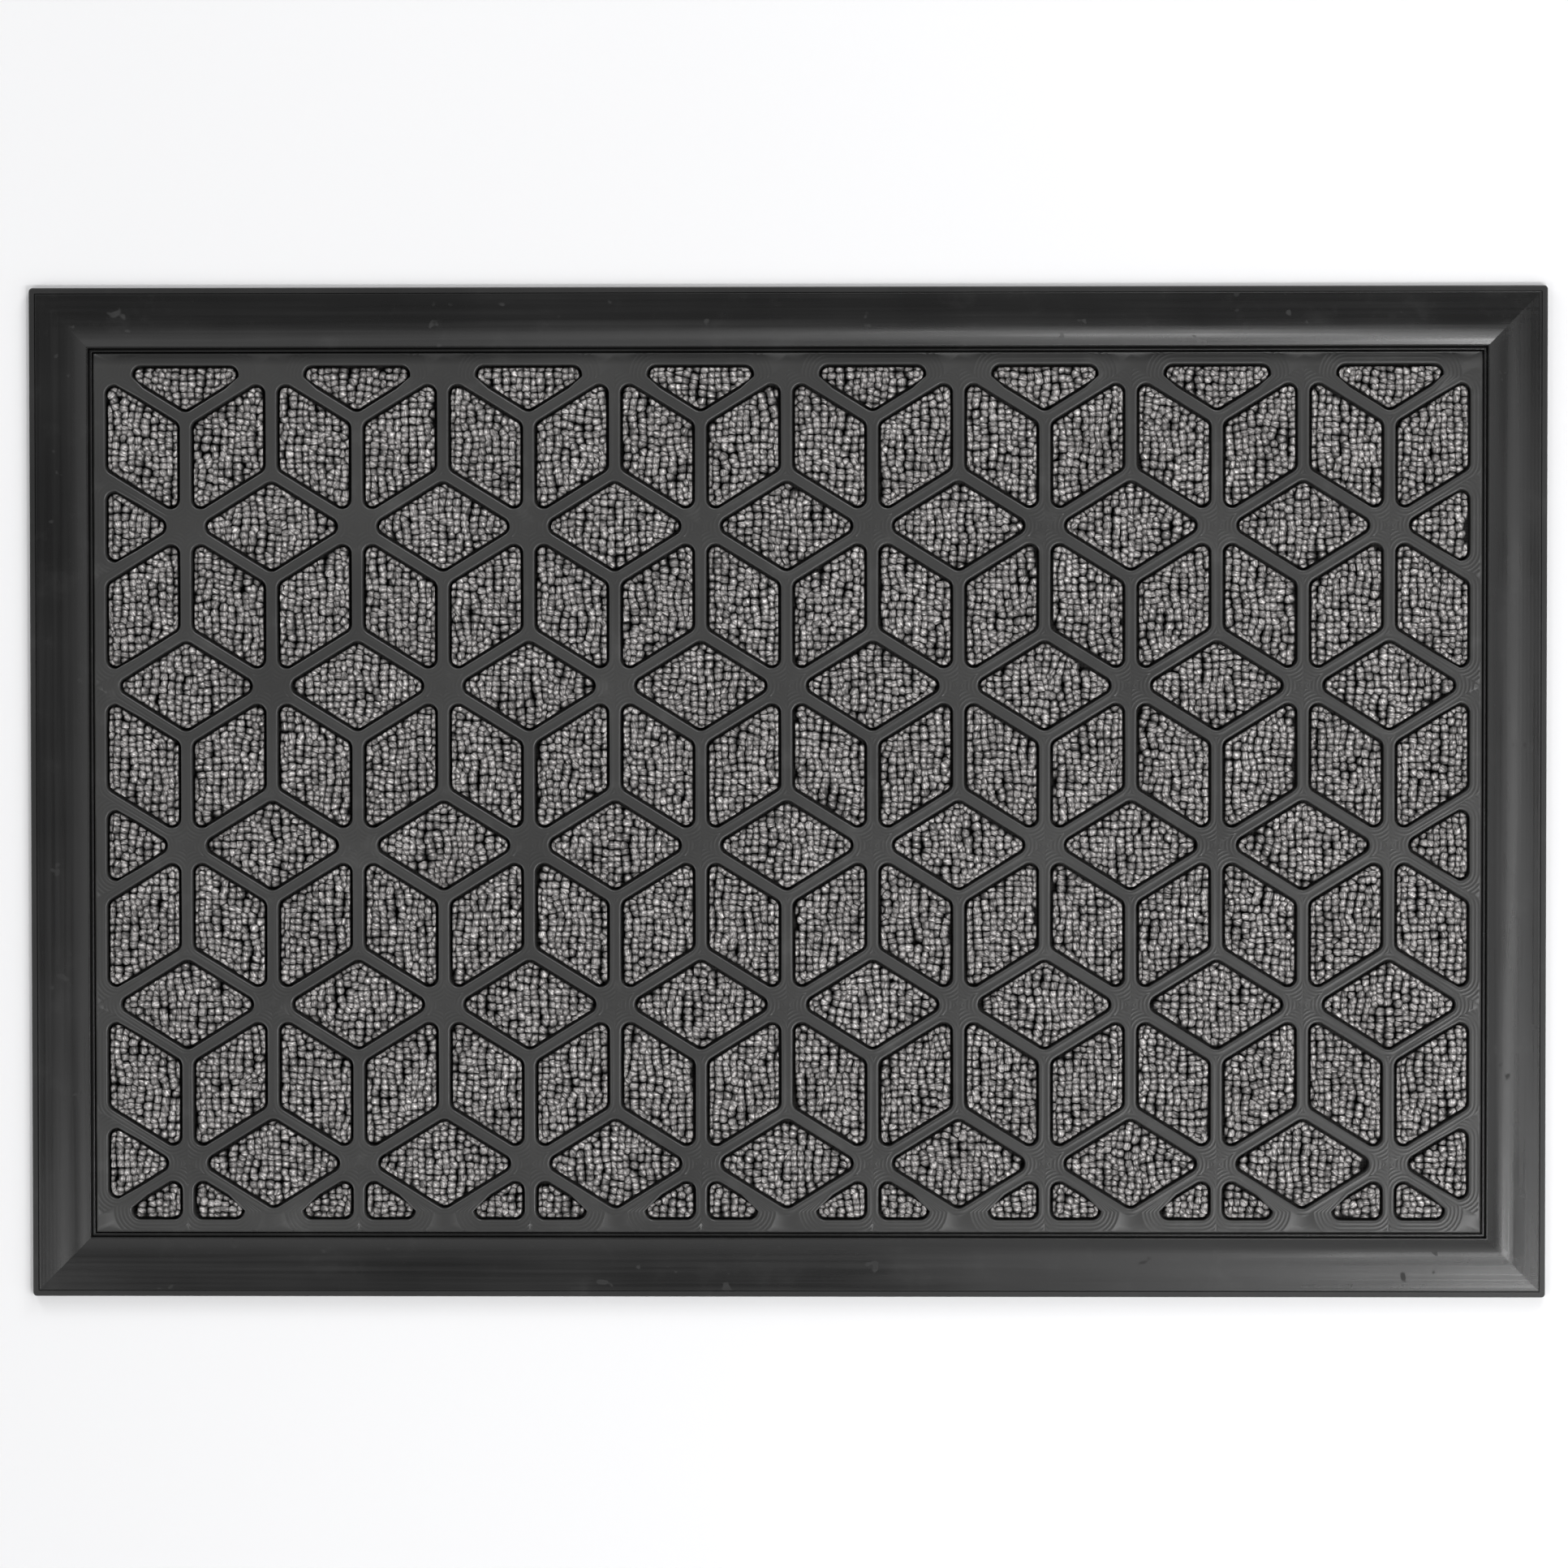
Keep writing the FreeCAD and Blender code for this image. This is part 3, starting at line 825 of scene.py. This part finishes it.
def make_cloth():
    """Thin woven sheet under the lattice, with a slightly uneven top."""
    columns = int((cloth_high[0] - cloth_low[0]) / CLOTH_CELL)
    rows = int((cloth_high[1] - cloth_low[1]) / CLOTH_CELL)
    xs = np.linspace(cloth_low[0], cloth_high[0], columns + 1)
    ys = np.linspace(cloth_low[1], cloth_high[1], rows + 1)
    grid_x, grid_y = np.meshgrid(xs, ys)
    sag = CLOTH_SAG * (1 + np.sin(grid_x / SAG_ALONG) * np.cos(grid_y / SAG_ACROSS))
    top = np.column_stack([grid_x.ravel(), grid_y.ravel(), (cloth_high[2] - sag).ravel()])
    bottom = top.copy()
    bottom[:, 2] = cloth_low[2]
    wide = columns + 1
    first = (np.arange(rows)[:, None] * wide + np.arange(columns)[None, :]).ravel()
    upper = np.column_stack([first, first + 1, first + 1 + wide, first + wide])
    lower = upper[:, ::-1] + len(top)
    rim = list(range(wide))
    rim += [row * wide + columns for row in range(1, rows + 1)]
    rim += [rows * wide + column for column in range(columns - 1, -1, -1)]
    rim += [row * wide for row in range(rows - 1, 0, -1)]
    rim = np.array(rim)
    ahead = np.roll(rim, -1)
    sides = np.column_stack([rim, rim + len(top), ahead + len(top), ahead])
    vertices = np.concatenate([top, bottom])
    faces = np.concatenate([upper, lower, sides])
    return mesh_object("woven_backing", vertices, faces)


# ---- Loop pile ------------------------------------------------------------------------------------
STITCH_PITCH = 3.01 * MM     # between loops along a row
ROW_GAUGE = 2.54 * MM        # between rows of loops
ROW_WAVE = 0.80 * MM         # how far the rows wander
PLACE_JITTER = 0.24 * MM
LEAST_GAP = 2.0 * MM         # loops pushed together stay this far apart
YARN_HALF_WIDTH = 1.95 * MM
YARN_HALF_DEPTH = 1.35 * MM
LOOP_SPAN = 1.60 * MM        # between the middles of a loop's two legs
SPAN_RANGE = (0.65, 1.3)     # shares of that span, from loop to loop
SIZE_RANGE = (0.88, 1.08)    # thickness of the yarn, from loop to loop
LOOP_ANGLE = math.radians(-38)
TURN_WANDER = 0.6            # radians that this angle drifts over the mat
TURN_SPREAD = 0.45           # radians that it differs from loop to loop
WALL_TURN = 0.7              # share of the way that a loop turns along a wall beside it
WALL_TURN_SLANT = 0.4        # more at the walls on a pocket's near side, less at those on its far side
LOOP_SKEW = 0.35             # of a loop's legs to either side of its line, as a share of its span
ARCH_POWER = 2.2             # how flat a loop's top is
ROOT_GIRTH = 0.85            # at the cloth, as a share of the girth at the tip
STATIONS = 9                 # rings of vertices along a loop
SIDES = 10
PLY_GROOVE = 0.08            # between the yarn's two plies, as a share of its girth
PLY_TURNS = 1.2              # of the plies round each other, along one loop
ROUGHNESS_OF_YARN = 0.06     # random unevenness of a loop's surface, as a share of its girth
ROOT_DEPTH = 0.05 * MM       # of the loops' ends in the cloth
NEIGHBOURS = 7               # that a loop is pressed flat against
SQUEEZED_GAP = 0.24 * MM     # left between two loops that lie side by side
END_GAP = -0.35 * MM         # loops that lie end to end run into each other
GAP_RANGE = (0.4, 1.9)       # shares of the gap beside a loop, from one pair of loops to the next
LEAST_SQUEEZE = 0.55         # share of the overlap taken away, at least
LOOP_BEND = 0.30 * MM        # of a loop's tip to either side
WALL_LEAN = 0.30 * MM        # of the tips beside a wall towards that wall
WALL_GAP = 0.40 * MM         # distance of the outermost loops' middles from the edge of the pile
EDGE_BULGE = 0.30 * MM       # of the outermost loops over the edge of the pile block
STRAY = 1.3 * MM             # stitches this far outside the edge of the pile are pushed back in
WALL_REACH = 3.0 * MM        # how far in from that edge the loops are turned along the wall
CROWN_REACH = 3.6 * MM       # how far in the pile's top curves down
CROWN_DROP = 1.9 * MM
TIP_RISE = 0.05 * MM         # of the loops' tips over the pile block's flat top
TIP_SPREAD = 0.22 * MM       # in the height of the tips, from loop to loop
TIP_WANDER = 0.12 * MM       # in their height, slowly over the mat
SHADE_WANDER = 0.10          # in the yarn's shade, slowly over the mat
SHADE_SPREAD = 0.10          # in its shade, from loop to loop
TILE_MARGIN = 0.06           # round a loop's own tile in the texture
FIBRE_STARTS = 1000          # millimetres over which the places of the loops' fibres are spread
SHADED_DEPTH = 2.0 * MM      # below a loop's own tip, over which the yarn goes from a painted highlight at the tip to painted shade near black


def smooth_field(rng, shortest, longest, count=9):
    """Smooth random function of the place on the mat, about -1 to 1."""
    lengths = rng.uniform(shortest, longest, count)
    turns = rng.uniform(0, 2 * math.pi, count)
    phases = rng.uniform(0, 2 * math.pi, count)
    wave_x = 2 * math.pi / lengths * np.cos(turns)
    wave_y = 2 * math.pi / lengths * np.sin(turns)

    def field(points):
        angles = points[:, :1] * wave_x + points[:, 1:] * wave_y + phases
        return np.sin(angles).sum(axis=1) / math.sqrt(count)

    return field


def push_apart(points, gap, rounds=6):
    """Move points that are closer together than a gap away from each other."""
    for _ in range(rounds):
        offsets = points[:, None, :] - points[None, :, :]
        distances = np.linalg.norm(offsets, axis=2)
        np.fill_diagonal(distances, gap)
        push = np.clip(gap - distances, 0, None) / np.maximum(distances, 1e-9) / 4
        points = points + (offsets * push[..., None]).sum(axis=1)
    return points


def loop_places(outline, fields, rng):
    """Middles of the loops in one pocket, on a wavy stitch grid crowded in by the walls."""
    corners = np.array(outline)
    low = corners.min(axis=0)
    high = corners.max(axis=0)
    columns = np.arange(math.floor(low[0] / STITCH_PITCH), math.ceil(high[0] / STITCH_PITCH) + 1)
    rows = np.arange(math.floor(low[1] / ROW_GAUGE), math.ceil(high[1] / ROW_GAUGE) + 1)
    grid_x, grid_y = np.meshgrid(columns * STITCH_PITCH, rows * ROW_GAUGE)
    points = np.column_stack([grid_x.ravel(), grid_y.ravel()])
    points = points + ROW_WAVE * np.column_stack([fields["across"](points), fields["along"](points)])
    points = points + rng.normal(0, PLACE_JITTER, points.shape)
    radius = POCKET_CORNER_RADIUS - (PILE_INSET - POCKET_INSET)
    depth, _ = depth_inside(outline, PILE_INSET, radius, points)
    points = points[depth > -STRAY]
    for _ in range(3):
        points = push_apart(points, LEAST_GAP, 3)
        depth, inward = depth_inside(outline, PILE_INSET, radius, points)
        points = points + inward * np.clip(WALL_GAP - depth, 0, None)[:, None]
    return points, np.maximum(depth, WALL_GAP), inward


def loop_lines(places, depth, inward, fields, rng):
    """Middle line, sideways direction and girth of every loop."""
    count = len(places)
    near_wall = np.clip(1 - depth / WALL_REACH, 0, 1)
    angle = LOOP_ANGLE + TURN_WANDER * fields["turn"](places) + rng.normal(0, TURN_SPREAD, count)
    along_wall = np.arctan2(inward[:, 1], inward[:, 0]) + math.pi / 2
    difference = (along_wall - angle + math.pi / 2) % math.pi - math.pi / 2
    angle = angle + difference * np.clip(near_wall * (WALL_TURN + WALL_TURN_SLANT * inward[:, 1]), 0, 1)
    sunk = CROWN_DROP * np.clip(1 - depth / CROWN_REACH, 0, 1) ** 2
    tip = PILE_TOP + TIP_RISE - YARN_HALF_DEPTH - sunk + rng.normal(0, TIP_SPREAD, count)
    tip = tip + TIP_WANDER * fields["shade"](places)
    span = LOOP_SPAN * rng.uniform(*SPAN_RANGE, count)
    size = rng.uniform(*SIZE_RANGE, count)
    along = np.column_stack([np.cos(angle), np.sin(angle)])
    sideways = np.column_stack([-np.sin(angle), np.cos(angle)])
    lean = sideways * rng.normal(0, LOOP_BEND, (count, 1)) - inward * (near_wall * WALL_LEAN)[:, None]
    share = np.linspace(0, 1, STATIONS)
    swing = -np.sin(2 * math.pi * share) / 2
    rise = 1 - np.abs(2 * share - 1) ** ARCH_POWER
    flat = places[:, None, :] + along[:, None, :] * (span[:, None] * swing)[..., None]
    flat = flat - sideways[:, None, :] * (LOOP_SKEW * span[:, None] * swing)[..., None]
    flat = flat + lean[:, None, :] * rise[None, :, None]
    z = CLOTH_TOP + (tip - CLOTH_TOP)[:, None] * rise
    line = np.concatenate([flat, z[..., None]], axis=2)
    girth = size[:, None] * (ROOT_GIRTH + (1 - ROOT_GIRTH) * rise)
    return line, sideways, girth


def loop_surfaces(line, sideways, girth, rng):
    """Rings of vertices of a two-ply yarn round every loop's middle line."""
    count, stations, _ = line.shape
    forward = np.gradient(line, axis=1)
    forward /= np.linalg.norm(forward, axis=2)[..., None]
    side = np.concatenate([sideways, np.zeros((count, 1))], axis=1)[:, None, :]
    side = side - forward * (side * forward).sum(axis=2)[..., None]
    side /= np.linalg.norm(side, axis=2)[..., None]
    other = np.cross(forward, side)
    around = np.linspace(0, 2 * math.pi, SIDES, endpoint=False)
    twist = np.linspace(0, PLY_TURNS * 2 * math.pi, stations)[None, :]
    twist = twist + rng.uniform(0, math.pi, count)[:, None]
    bulk = 1 + PLY_GROOVE * np.cos(2 * (around - twist[..., None]))
    bulk = (bulk + rng.normal(0, ROUGHNESS_OF_YARN, bulk.shape)) * girth[..., None]
    width = side[:, :, None, :] * (YARN_HALF_WIDTH * np.cos(around))[:, None]
    depth = other[:, :, None, :] * (YARN_HALF_DEPTH * np.sin(around))[:, None]
    surface = line[:, :, None, :] + (width + depth) * bulk[..., None]
    surface[..., 2] = np.maximum(surface[..., 2], CLOTH_TOP - ROOT_DEPTH)
    return surface


def crowded(surface, places, sideways, outline, rng):
    """Loops squeezed flat where they would run into their neighbours or the pocket's wall."""
    offsets = places[None, :, :] - places[:, None, :]
    distances = np.linalg.norm(offsets, axis=2)
    np.fill_diagonal(distances, np.inf)
    nearest = np.argsort(distances, axis=1)[:, :NEIGHBOURS]
    numbers = np.arange(len(places))
    surface = surface.copy()
    for neighbour in nearest.T:
        gap = distances[numbers, neighbour]
        way = offsets[numbers, neighbour] / gap[:, None]
        beside = np.abs((way * sideways).sum(axis=1))
        left_open = END_GAP + (SQUEEZED_GAP - END_GAP) * beside * rng.uniform(*GAP_RANGE, len(gap))
        limit = (gap - left_open) / 2
        reach = ((surface[..., :2] - places[:, None, None, :]) * way[:, None, None, :]).sum(axis=3)
        excess = np.clip(reach - limit[:, None, None], 0, None)
        excess *= rng.uniform(LEAST_SQUEEZE, 1, (len(gap), 1, 1))
        surface[..., :2] -= excess[..., None] * way[:, None, None, :]
    radius = POCKET_CORNER_RADIUS - (PILE_INSET - POCKET_INSET)
    flat = surface[..., :2].reshape(-1, 2)
    depth, inward = depth_inside(outline, PILE_INSET, radius, flat)
    pushed = flat + inward * np.clip(-EDGE_BULGE - depth, 0, None)[:, None]
    surface[..., :2] = pushed.reshape(surface.shape[:-1] + (2,))
    return surface


def loop_faces(count):
    """Quads of all the loops, as vertex numbers; a loop's two ends stand on the cloth."""
    ring = np.arange(STATIONS - 1)[:, None] * SIDES
    side = np.arange(SIDES)[None, :]
    ahead = (side + 1) % SIDES
    quads = np.stack([ring + side, ring + ahead, ring + SIDES + ahead, ring + SIDES + side], axis=-1)
    starts = (np.arange(count) * STATIONS * SIDES)[:, None, None]
    return (quads.reshape(-1, 4)[None] + starts).reshape(-1, 4)


def loop_maps(count):
    """Texture places for every face corner: each loop is unrolled into its own tile of a square grid."""
    tiles = math.ceil(math.sqrt(count))
    ring, side = np.meshgrid(np.arange(STATIONS - 1), np.arange(SIDES), indexing="ij")
    corner_u = np.stack([ring, ring, ring + 1, ring + 1], axis=-1).reshape(-1) / (STATIONS - 1)
    corner_v = np.stack([side, side + 1, side + 1, side], axis=-1).reshape(-1) / SIDES
    number = np.arange(count)
    filled = 1 - 2 * TILE_MARGIN
    u = (number[:, None] % tiles + TILE_MARGIN + filled * corner_u) / tiles
    v = (number[:, None] // tiles + TILE_MARGIN + filled * corner_v) / tiles
    return np.stack([u, v], axis=-1).reshape(-1, 2)


def yarn_places(line, rng):
    """Each vertex's place along and round its own yarn, for fibres that follow the yarn."""
    count = len(line)
    steps = np.linalg.norm(np.diff(line, axis=1), axis=2)
    length = np.concatenate([np.zeros((count, 1)), np.cumsum(steps, axis=1)], axis=1)
    around = np.linspace(0, 2 * math.pi, SIDES, endpoint=False)
    start = rng.uniform(0, FIBRE_STARTS, (count, 1, 1)) * MM
    along = np.broadcast_to(length[..., None], (count, STATIONS, SIDES)) + start
    across = np.broadcast_to(YARN_HALF_WIDTH * np.cos(around), along.shape) + start
    over = np.broadcast_to(YARN_HALF_WIDTH * np.sin(around), along.shape)
    return np.stack([along, across, over], axis=-1).reshape(-1, 3)


def make_pile(node, cells, fields, rng, material):
    """All the yarn loops of one pile node as one mesh."""
    surfaces = []
    sinks = []
    shades = []
    places_on_yarn = []
    for pocket, _ in cells:
        places, depth, inward = loop_places(pocket, fields, rng)
        line, sideways, girth = loop_lines(places, depth, inward, fields, rng)
        pressed = crowded(loop_surfaces(line, sideways, girth, rng), places, sideways, pocket, rng)
        surfaces.append(pressed)
        places_on_yarn.append(yarn_places(line, rng))
        # how far each vertex lies below its loop's tip, which the yarn's material turns into a painted
        # highlight and painted shade
        sunk = pressed[..., 2].max(axis=(1, 2), keepdims=True) - pressed[..., 2]
        sinks.append((sunk / SHADED_DEPTH).ravel())
        wander = SHADE_WANDER * fields["shade"](places)
        shade = 0.5 + wander + rng.normal(0, SHADE_SPREAD, len(places))
        shades.append(np.repeat(np.clip(shade, 0, 1), STATIONS * SIDES))
    surface = np.concatenate(surfaces)
    obj = mesh_object(node.replace("pile", "yarn_loops"), surface.reshape(-1, 3), loop_faces(len(surface)))
    point_attribute(obj, "sunk", np.concatenate(sinks))
    point_attribute(obj, "shade", np.concatenate(shades))
    fibre = obj.data.attributes.new("fibre", "FLOAT_VECTOR", "POINT")
    fibre.data.foreach_set("vector", np.concatenate(places_on_yarn).astype(np.float32).ravel())
    tiles = obj.data.uv_layers.new(name="OFBake")
    tiles.uv.foreach_set("vector", loop_maps(len(surface)).astype(np.float32).ravel())
    wear(obj, material)
    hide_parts(node)
    return len(surface)


# ---- Floor ----------------------------------------------------------------------------------------
FLOOR_HALF = 6.0
FLOOR_DROP = 0.02 * MM     # just under the mat, so that the two don't share a plane


def make_floor():
    """Large pale floor."""
    corners = [(FLOOR_HALF * sx, FLOOR_HALF * sy, 0) for sx, sy in ((-1, -1), (1, -1), (1, 1), (-1, 1))]
    floor = mesh_object("studio_floor", corners, [(0, 1, 2, 3)], smooth=False)
    floor.location.z = -FLOOR_DROP
    floor.data.materials.append(floor_material())


# ---- Assembly -------------------------------------------------------------------------------------
make_camera()
make_world()
make_lights()
make_floor()

groups = cell_groups()

# The field's rubber carries painted shade along the mat's top edge.
field_rubber = rubber_material(
    "field_rubber", dark=(0.035, 0.035, 0.035), light=(0.047, 0.047, 0.046), roughness=0.38, painted_edge_shade=True
)
border_rubber = rubber_material(
    "border_rubber", dark=(0.011, 0.011, 0.011), light=(0.015, 0.015, 0.015), roughness=0.30, streaks=True
)
base_rubber = rubber_material(
    "base_rubber", dark=(0.010, 0.010, 0.010), light=(0.018, 0.018, 0.018), roughness=0.5
)

border = make_border()
wear(border, border_rubber)
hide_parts("border_frame")

lattice = make_lattice(groups)
wear(lattice, field_rubber)
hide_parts("rib_grid")

cloth = make_cloth()
wear(cloth, cloth_material())
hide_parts("carpet_backing_cloth")

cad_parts["rubber_base"].data.materials.clear()
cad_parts["rubber_base"].data.materials.append(base_rubber)

rng = np.random.default_rng(SEED)
fields = {
    "across": smooth_field(rng, shortest=9 * MM, longest=30 * MM),
    "along": smooth_field(rng, shortest=9 * MM, longest=30 * MM),
    "turn": smooth_field(rng, shortest=10 * MM, longest=40 * MM),
    "shade": smooth_field(rng, shortest=8 * MM, longest=60 * MM),
}
yarn = yarn_material()
loop_total = 0
for node, cells in groups.items():
    loop_total += make_pile(node, cells, fields, rng, yarn)
print("yarn loops:", loop_total)
